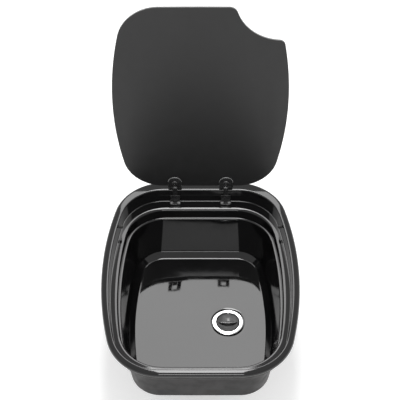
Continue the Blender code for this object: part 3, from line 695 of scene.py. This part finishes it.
def build_bowl(gloss, underside):
    """The moulding: the face that is seen, thickened outwards, with a duller back."""
    inside = loft("bowl", bowl_rings())
    inside.materials.append(gloss)
    inside.materials.append(underside)
    inside.shade_smooth()
    inside.set_sharp_from_angle(angle=math.radians(SHARP_ANGLE))
    mesh = with_modifiers(
        inside,
        (
            "SOLIDIFY",
            {
                "thickness": WALL,
                "offset": -1.0,
                "use_even_offset": True,
                "material_offset": 1,
                "material_offset_rim": 1,
            },
        ),
        ("WEIGHTED_NORMAL", {"keep_sharp": True, "weight": 80}),
    )
    obj = bpy.data.objects.new("bowl", mesh)
    bpy.context.scene.collection.objects.link(obj)
    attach(obj, "sink")
    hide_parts("sink_bowl")


def build_gasket(material):
    """A foam strip with rounded shoulders, a little squashed."""
    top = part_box("rim_gasket")[HIGH].z
    inner = RECESS.inset(-WALL - GASKET_GAP)
    outer = RIM.inset(WALL + GASKET_INSET)
    rings = [
        (inner.inset(-GASKET_BULGE), top),
        (outer.inset(GASKET_SHOULDER), top),
        (outer.inset(FIT), top - GASKET_SHOULDER_DROP),
        (outer, top / 3),
        (outer.inset(GASKET_BULGE), 0.0),
        (inner.inset(-GASKET_BULGE), 0.0),
        (inner, top / 3),
        (inner, top * 2 / 3),
    ]
    mesh = loft("rim_seal", [(outline.points(), z) for outline, z in rings], wrap=True)
    show("rim_seal", mesh, "sink", material, ["rim_gasket"])


def build_lid_rests(material):
    """Round rubber buffers with a domed end and a collar against the wall."""
    neck = BUFFER_LENGTH - BUFFER_STEM_LENGTH
    profile = BUFFER_NOSE + [(BUFFER_RADIUS, neck), (BUFFER_STEM, neck + 0.0002)]
    profile += [(BUFFER_STEM, BUFFER_LENGTH), (0.0, BUFFER_LENGTH)]
    for side, sign in (("left", -1), ("right", 1)):
        node = f"lid_rest_{side}"
        low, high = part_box(node)
        inwards = Vector((-sign, BUFFER_LEAN, 0)).normalized()
        tip_x = low.x if sign > 0 else high.x
        middle = (low + high) / 2
        tip = Vector((tip_x + sign * BUFFER_SETBACK, middle.y - BUFFER_SLIDE, middle.z))
        mesh = turned(node, [(r, -z) for r, z in profile], closed=False, steps=40)
        mesh.transform(Vector((0, 0, 1)).rotation_difference(inwards).to_matrix().to_4x4())
        show(f"buffer_{side}", moved(mesh, tip), "sink", material, [node])


# ---- The hinges --------------------------------------------------------------------


def knuckle_arc(steps=24):
    """The back half of a knuckle's round, from its lowest to its highest point."""
    angles = [math.pi * (i / steps - 0.5) for i in range(steps + 1)]
    return [(KNUCKLE_RADIUS * math.cos(a), KNUCKLE_RADIUS * math.sin(a)) for a in angles]


def front_bend(front, bend):
    """The bend from a knuckle's top over to a neck's front face."""
    return [
        (front + bend * (1 - math.sin(a)), KNUCKLE_RADIUS - bend * (1 - math.cos(a)))
        for a in quarter_turn(10)
    ]


def foot_outline():
    """The foot's plan: a rounded lobe round each screw and a square back."""
    screw_y = FOOT_SCREW_Y - PIVOT.y
    left, right = Vector((-FOOT_SCREW_X, screw_y)), Vector((FOOT_SCREW_X, screw_y))
    points = arc(left, FOOT_LOBE, math.pi, 1.5 * math.pi, 8)
    points.append(left + Vector((0, -FOOT_LOBE)))
    points += arc(right, FOOT_LOBE, 1.5 * math.pi, math.tau, 8)
    points.append(right + Vector((FOOT_LOBE, 0)))
    return [(p.x, p.y) for p in points] + [(FOOT_HALF, FOOT_BACK), (-FOOT_HALF, FOOT_BACK)]


def build_hinge_base(side, x, material):
    """The fixed half: a middle knuckle, an arm down the recess wall and a foot on the ledge."""
    ledge = LEDGE_Z - PIVOT.z + FIT
    neck_end = ARM_TOP - ARM_LAP
    neck = knuckle_arc() + front_bend(BASE_FRONT, BASE_BEND)
    neck += [(BASE_FRONT, neck_end), (BASE_BACK, neck_end), (BASE_BACK, NECK_BACK_TOP)] + KNUCKLE_TAIL
    arm = [(BASE_FRONT - FIT, ARM_TOP), (BASE_BACK - FIT, ARM_TOP), (-0.0069, ledge + 0.0052)]
    arm += [(-0.0096, ledge + 0.0013), (-0.0108, ledge + 0.0013), (-0.0092, ledge + 0.0055)]
    meshes = [
        bevelled(slab("neck", neck, -BASE_HALF, BASE_HALF, upright=True), HINGE_EDGE),
        bevelled(slab("arm", arm, -ARM_HALF, ARM_HALF, upright=True), HINGE_EDGE),
        bevelled(slab("foot", foot_outline(), ledge, ledge + FOOT_THICKNESS), FOOT_EDGE),
    ]
    mesh = moved(join_meshes("hinge_arm", meshes), (x, PIVOT.y, PIVOT.z))
    show(f"hinge_arm_{side}", mesh, "sink", material, [f"hinge_base_{side}"])


def build_foot_screws(side, x, material):
    """Two domed screws through the foot."""
    for number, sign in ((1, -1), (2, 1)):
        node = f"hinge_screw_{side}_{number}"
        low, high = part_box(node)
        tip = low.z - high.z
        profile = [(0.0, 0.0)]
        profile += [(SCREW_HEAD * math.sin(a), SCREW_DOME * (math.cos(a) - 1)) for a in quarter_turn(12)[1:]]
        profile += [(SCREW_HEAD, SCREW_UNDERSIDE), (SCREW_SHANK, SCREW_UNDERSIDE)]
        profile += [(SCREW_SHANK, tip + SCREW_POINT), (0.0, tip)]
        mesh = turned("domed_screw", profile, closed=False, steps=48)
        at = Vector((x + sign * FOOT_SCREW_X, FOOT_SCREW_Y, high.z))
        show(f"domed_screw_{side}_{number}", moved(mesh, at), "sink", material, [node])


def build_hinge_pin(side, x, material):
    """A pin along the joint's axis, with a flat head at each end."""
    half = LEAF_OUTER + PIN_PLAY
    end, shoulder = half + PIN_HEAD, half + 0.7 * PIN_HEAD
    profile = [(0.0, end), (PIN_HEAD_FLAT, end), (PIN_HEAD_RADIUS, shoulder), (PIN_HEAD_RADIUS, half)]
    profile += [(PIN_RADIUS, half)]
    profile += [(radius, -z) for radius, z in reversed(profile)]
    mesh = turned("pin", profile, closed=False, steps=40)
    mesh.transform(Matrix.Rotation(math.pi / 2, 4, "Y"))
    mesh = moved(mesh, (x, PIVOT.y, PIVOT.z))
    show(f"pin_{side}", mesh, "lid", material, [f"hinge_pin_{side}"])


def build_hinge_leaf(side, x, material):
    """The turning half: a round-ended plate, two cheeks with the outer knuckles, and a bridge between them.

    Mirrors see the cheeks and the bridge only, as the long plate would hide the back panel from the bowl.
    """
    centre = Vector((0.0, CLAMP_Y))
    plate = [(-LEAF_ROUND, -LEAF_TAIL)]
    plate += [(p.x, p.y) for p in arc(centre, LEAF_ROUND, math.pi, 2 * math.pi, 40)]
    plate += [(LEAF_ROUND, CLAMP_Y), (LEAF_ROUND, -LEAF_TAIL)]
    mesh = opened(moved(bevelled(slab("plate", plate, LEAF_BOTTOM, LEAF_TOP), LEAF_EDGE), (x, 0, 0)))
    leaf = show(f"leaf_{side}", mesh, "lid", material, [f"hinge_leaf_{side}"])
    leaf.visible_glossy = False
    low, high = LEAF_BOTTOM + FIT, LEAF_TOP - FIT
    cheek = knuckle_arc() + front_bend(CHEEK_FRONT, CHEEK_BEND)
    cheek += [(CHEEK_FRONT, high), (CHEEK_TIP, high), (CHEEK_TIP, low)]
    cheek += [(CHEEK_BACK, low), (CHEEK_BACK, NECK_BACK_TOP)] + KNUCKLE_TAIL
    cheeks = []
    for first, last in ((-LEAF_OUTER, -LEAF_INNER), (LEAF_INNER, LEAF_OUTER)):
        cheeks.append(bevelled(slab("cheek", cheek, first, last, upright=True), HINGE_EDGE))
    bridge = [(-LEAF_INNER, BRIDGE_TIP), (LEAF_INNER, BRIDGE_TIP)]
    bridge += [(LEAF_INNER, -LEAF_TAIL), (-LEAF_INNER, -LEAF_TAIL)]
    cheeks.append(slab("bridge", bridge, low, high))
    mesh = opened(moved(join_meshes("cheeks", cheeks), (x, 0, 0)))
    show(f"cheeks_{side}", mesh, "lid", material, [])


def cap_section():
    """A domed cap on the glass's outer pad."""
    low = GLASS_TOP + PAD + 2 * FIT
    dome = low + CAP_SIDE
    points = [(0.0, low + CAP_THICKNESS)]
    for a in quarter_turn(14)[1:]:
        points.append((CAP_RADIUS * math.sin(a), dome + (CAP_THICKNESS - CAP_SIDE) * math.cos(a)))
    return points + [(CAP_RADIUS, low), (0.0, low)]


def clamp_head_section():
    """A screw's domed head under the leaf, with a hollow for the driver and the start of its shank."""
    under = LEAF_BOTTOM - FIT
    top = under + CLAMP_SHANK_END
    side = under - CLAMP_HEAD_SIDE
    crown = side - CLAMP_HEAD_DOME
    points = [(0.0, top), (CLAMP_SHANK, top), (CLAMP_SHANK, under), (CLAMP_HEAD, under)]
    for a in quarter_turn(10)[:-1]:
        points.append((CLAMP_HEAD * math.cos(a), side - CLAMP_HEAD_DOME * math.sin(a)))
    return points + [(0.0014, crown), (0.0011, under - DRIVE_DEPTH), (0.0, under - DRIVE_DEPTH)]


def build_clamp(side, x, satin, rubber_finish):
    """What grips the glass: a pad on each face, a cap outside and a screw through them."""
    at = Vector((x, CLAMP_Y, 0))
    pads = {
        "inner": (LEAF_TOP + FIT, LEAF_TOP + FIT + PAD),
        "outer": (GLASS_TOP + FIT, GLASS_TOP + FIT + PAD),
    }
    for place, (low, high) in pads.items():
        section = [(PAD_BORE, high), (PAD_RADIUS, high), (PAD_RADIUS, low), (PAD_BORE, low)]
        mesh = opened(moved(turned("pad", rounded(section, PAD_EDGE), steps=64), at))
        node = f"glass_pad_{place}_{side}"
        pad = show(f"pad_{place}_{side}", mesh, "lid", rubber_finish, [node])
        pad.visible_glossy = False
    mesh = opened(moved(turned("cap", cap_section(), closed=False, steps=64), at))
    cap = show(f"cap_{side}", mesh, "lid", satin, [f"clamp_cap_{side}"])
    cap.visible_glossy = False
    mesh = opened(moved(turned("clamp_head", clamp_head_section(), closed=False, steps=48), at))
    head = show(f"clamp_head_{side}", mesh, "lid", satin, [f"clamp_screw_{side}"])
    head.visible_glossy = False


# ---- The lid -----------------------------------------------------------------------


def lid_loop():
    """The glass's outline, with the round bite at the front right, measured from the pivot."""
    side_centre, end_centre, corner_centre = LID.arcs()
    first = angle_of(corner_centre - side_centre)
    second = angle_of(corner_centre - end_centre)
    flip_x, flip_y = Vector((-1, 1)), Vector((1, -1))
    left_centre = side_centre * flip_x
    front_centre = end_centre * flip_y
    upper = circles_meet(
        NOTCH,
        NOTCH_RADIUS + NOTCH_SIDE_FILLET,
        side_centre,
        LID.side - NOTCH_SIDE_FILLET,
        Vector((0, 1)),
    )
    lower = circles_meet(
        NOTCH,
        NOTCH_RADIUS + NOTCH_FRONT_FILLET,
        front_centre,
        LID.end - NOTCH_FRONT_FILLET,
        Vector((-1, 0)),
    )
    side_start = angle_of(upper - side_centre)
    front_end = angle_of(lower - front_centre)
    to_lower = angle_of(lower - NOTCH)
    to_upper = angle_of(upper - NOTCH)
    points = arc(side_centre, LID.side, side_start, first, 24)
    points += arc(corner_centre, LID.corner, first, second, 36)
    points += arc(end_centre, LID.end, second, math.pi - second, 8)
    points += arc(corner_centre * flip_x, LID.corner, math.pi - second, math.pi - first, 36)
    points += arc(left_centre, LID.side, math.pi - first, math.pi + first, 36)
    points += arc(corner_centre * -1, LID.corner, math.pi + first, math.pi + second, 36)
    points += arc(front_centre, LID.end, math.pi + second, front_end + 2 * math.pi, 8)
    points += arc(lower, NOTCH_FRONT_FILLET, front_end, to_lower - math.pi, 18)
    points += arc(NOTCH, NOTCH_RADIUS, to_lower, to_upper, 40)
    points += arc(upper, NOTCH_SIDE_FILLET, to_upper - math.pi, side_start, 18)
    return [(p.x, p.y + LID_Y - PIVOT.y) for p in points]


def build_glass(material):
    """The pane, cut away round the hinges.

    Mirrors don't see it, since the bowl's floor mirrors the back panel behind it.
    """
    mesh = slab("glass", lid_loop(), GLASS_BOTTOM, GLASS_TOP)
    cutters = []
    settings = []
    for sign in (-1, 1):
        x = sign * HINGE_X
        corners = [(x - HINGE_CUT_HALF, HINGE_CUT_Y), (x + HINGE_CUT_HALF, HINGE_CUT_Y)]
        corners += [(x + HINGE_CUT_HALF, HINGE_CUT_BACK), (x - HINGE_CUT_HALF, HINGE_CUT_BACK)]
        cutter_mesh = slab("cutter", corners, HINGE_CUT_LOW, HINGE_CUT_HIGH)
        cutter = bpy.data.objects.new("cutter", cutter_mesh)
        bpy.context.scene.collection.objects.link(cutter)
        cutters.append(cutter)
        settings.append(("BOOLEAN", {"operation": "DIFFERENCE", "solver": "EXACT", "object": cutter}))
    mesh = with_modifiers(mesh, *settings)
    for cutter in cutters:
        bpy.data.objects.remove(cutter)
    mesh = opened(bevelled(mesh, GLASS_EDGE, angle=50))
    glass = show("glass", mesh, "lid", material, ["lid_glass"])
    glass.visible_glossy = False


# ---- The waste fitting and the plug ------------------------------------------------


def build_flange(material):
    """The bright ring with a rolled outer edge, and the pipe below it."""
    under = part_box("drain_seal")[HIGH].z + FIT
    tail_end = flange_box[LOW].z
    brim = (flange_box[HIGH].x - flange_box[LOW].x) / 2
    profile = [(MOUTH_RADIUS, under + 0.0012), (0.0226, under + 0.0017), (0.0236, under + 0.0021)]
    profile += [(0.0265, under + 0.0022), (0.0278, under + 0.00215)]
    for a in quarter_turn(8):
        profile.append((brim - RING_ROLL * (1 - math.sin(a)), under + 0.0004 + RING_ROLL * math.cos(a)))
    profile += [(brim, under), (PIPE_RADIUS, under), (PIPE_RADIUS, tail_end), (PIPE_BORE, tail_end)]
    profile += [(PIPE_BORE, WASTE_SEAT - 0.0165), (THROAT_RADIUS, WASTE_SEAT - 0.0150)]
    profile += [(THROAT_RADIUS, WASTE_SEAT - 0.0125), (0.0195, WASTE_SEAT - 0.0100)]
    profile += [(MOUTH_RADIUS, WASTE_SEAT - 0.0075)]
    mesh = moved(turned("waste_ring", profile), (DRAIN.x, DRAIN.y, 0))
    show("waste_ring", mesh, "sink", material, ["drain_flange"])


def stopper_section(steps=19):
    """A dished top, a groove for the rubber ring, and a hollow foot."""
    top, low = WASTE_SEAT + PLUG_TOP, WASTE_SEAT
    points = [(0.0, top - PLUG_DISH)]
    for i in range(1, steps + 1):
        share = PLUG_DISH_SHARE * i / steps
        points.append((PLUG_RADIUS * share, top - PLUG_DISH * (1 - share**PLUG_DISH_POWER)))
    points += [(PLUG_RADIUS - 0.0006, top), (PLUG_RADIUS - 0.0002, top - 0.0002)]
    points += [(PLUG_RADIUS, top - 0.0007), (PLUG_RADIUS, low - PLUG_GROOVE_TOP)]
    points += [(PLUG_GROOVE, low - PLUG_GROOVE_TOP), (PLUG_GROOVE, low - PLUG_GROOVE_END)]
    points.append((PLUG_FOOT, low - PLUG_GROOVE_END))
    points += [(PLUG_FOOT, low - 0.0080), (0.0183, low - 0.0104), (0.0165, low - 0.0104)]
    return points + [(0.0155, low - 0.0092), (0.0, low - 0.0092)]


def finger_bar_outline(steps=24):
    """The bar's plan, which swells towards its middle."""
    points = []
    for i in range(steps):
        a = math.tau * i / steps
        swell = 1.2 - abs(math.cos(a)) ** 3 * 0.5
        points.append((BAR_LENGTH * math.cos(a), BAR_WIDTH * math.sin(a) * swell))
    return points


def build_plug(plastic, satin, rubber_finish):
    """A dished plug with a finger bar, and its rubber ring. The bar is a real part of the plug, but it is
    made in the darker black satin rather than the plug's grey as painted shade, so that it stays dark like
    its shaded front face.
    """
    at = (DRAIN.x, DRAIN.y, 0)
    top, low = WASTE_SEAT + PLUG_TOP, WASTE_SEAT
    bar = slab("finger_bar", finger_bar_outline(), top - PLUG_DISH + 0.0001, top + BAR_PROUD)
    bar = moved(bevelled(bar, BAR_EDGE, segments=4, angle=50), at)
    # Painted shade: the bar takes the darker satin so that it looks as dark as the shade on its front face.
    show("finger_bar", bar, "plug", satin, [])
    mesh = moved(turned("stopper", stopper_section(), closed=False), at)
    show("stopper", mesh, "plug", plastic, ["drain_plug"])
    ring = [(0.0193, low - 0.0023), (0.0210, low - 0.0023), (0.0216, low - 0.0029)]
    ring += [(0.0217, low - 0.0033), (0.0216, low - 0.0037), (0.0210, low - 0.0043)]
    ring += [(0.0193, low - 0.0043)]
    mesh = moved(turned("stopper_ring", ring), at)
    show("stopper_ring", mesh, "plug", rubber_finish, ["plug_seal"])


# ---- Lights, floor and camera ------------------------------------------------------


def add_panel(name, place, target, size, brightness):
    """A soft box that faces a point, as bright as so many whites."""
    light = bpy.data.lights.new(name, "AREA")
    light.shape = "RECTANGLE"
    light.size, light.size_y = size
    light.energy = brightness * math.pi * size[0] * size[1]
    obj = bpy.data.objects.new(name, light)
    bpy.context.scene.collection.objects.link(obj)
    obj.location = place
    obj.rotation_euler = (Vector(target) - Vector(place)).to_track_quat("-Z", "Y").to_euler()
    obj.visible_camera = False
    return obj


def build_studio():
    """A pale world, three soft boxes for the gloss to mirror, and a pale floor."""
    world = bpy.data.worlds.new("studio")
    bpy.context.scene.world = world
    world.use_nodes = True
    background = world.node_tree.nodes["Background"]
    background.inputs["Color"].default_value = (1.0, 1.0, 1.0, 1.0)
    background.inputs["Strength"].default_value = WORLD_BRIGHTNESS
    add_panel("top_panel", (0.0, 0.27, 1.6), target=(0.0, 0.27, 0.0), size=(0.36, 1.40), brightness=12.0)
    add_panel("front_panel", (0.04, -1.9, 1.06), target=(0.0, 0.0, -0.05), size=(0.54, 0.50), brightness=7.4)
    back = add_panel(
        "back_panel", (0.0, 0.262, 0.253), target=(0.0, 0.0, 0.253), size=(0.33, 0.374), brightness=4.7
    )
    back.visible_diffuse = False
    half = FLOOR_HALF_WIDTH
    corners = [(-half, -half), (half, -half), (half, half), (-half, half)]
    floor_mesh = slab("floor", corners, -FLOOR_THICKNESS, 0.0)
    floor = bpy.data.objects.new("studio_floor", floor_mesh)
    bpy.context.scene.collection.objects.link(floor)
    floor.location = (0, 0, cad_bounds[LOW][2] - FLOOR_DROP)
    finish = Finish("studio_floor")
    finish.colour(finish.noise(3), (0.90, 0.90, 0.90), (0.93, 0.93, 0.93))
    finish.roughness(finish.noise(8), 0.7, 0.8)
    finish.set(emission_color=(1.0, 1.0, 1.0, 1.0), emission_strength=FLOOR_GLOW)
    floor_mesh.materials.append(finish.material)


def build_camera():
    """Looks down at the sink from the front, at a point just inside the rim's back edge."""
    camera = bpy.data.cameras.new("camera")
    camera.sensor_width = 36.0
    camera.lens = CAMERA_LENS
    camera.clip_end = 20.0
    obj = bpy.data.objects.new("camera", camera)
    bpy.context.scene.collection.objects.link(obj)
    obj.location = CAMERA_TARGET + CAMERA_OFFSET
    obj.rotation_euler = (CAMERA_TARGET - obj.location).to_track_quat("-Z", "Y").to_euler()
    bpy.context.scene.camera = obj


# ---- Assembly ----------------------------------------------------------------------


def dress(nodes, material):
    """Gives CAD nodes whose shape is right a better material."""
    for node in nodes:
        mesh = frame["nodes"][node].data
        mesh.materials.clear()
        mesh.materials.append(material)


def main():
    satin = black_satin()
    rubber_finish = rubber()
    steel_finish = steel()
    plastic = tail_plastic()
    grey_plastic = plug_plastic()
    build_bowl(black_gloss(), black_underside())
    build_gasket(rubber_finish)
    build_lid_rests(rubber_finish)
    for side, sign in (("left", -1), ("right", 1)):
        x = sign * HINGE_X
        build_hinge_base(side, x, satin)
        build_foot_screws(side, x, grey_plastic)
        build_hinge_pin(side, x, satin)
        build_hinge_leaf(side, x, satin)
        build_clamp(side, x, satin, rubber_finish)
    build_glass(smoked_glass())
    build_flange(chrome())
    build_plug(grey_plastic, satin, rubber_finish)
    dress(["drain_seal", "drain_washer", "tail_washer"], rubber_finish)
    dress(["drain_locknut", "tail_nut", "hose_tail"], plastic)
    dress(["drain_strainer"], steel_finish)
    build_studio()
    build_camera()
    bpy.context.scene.view_settings.view_transform = "Standard"


main()
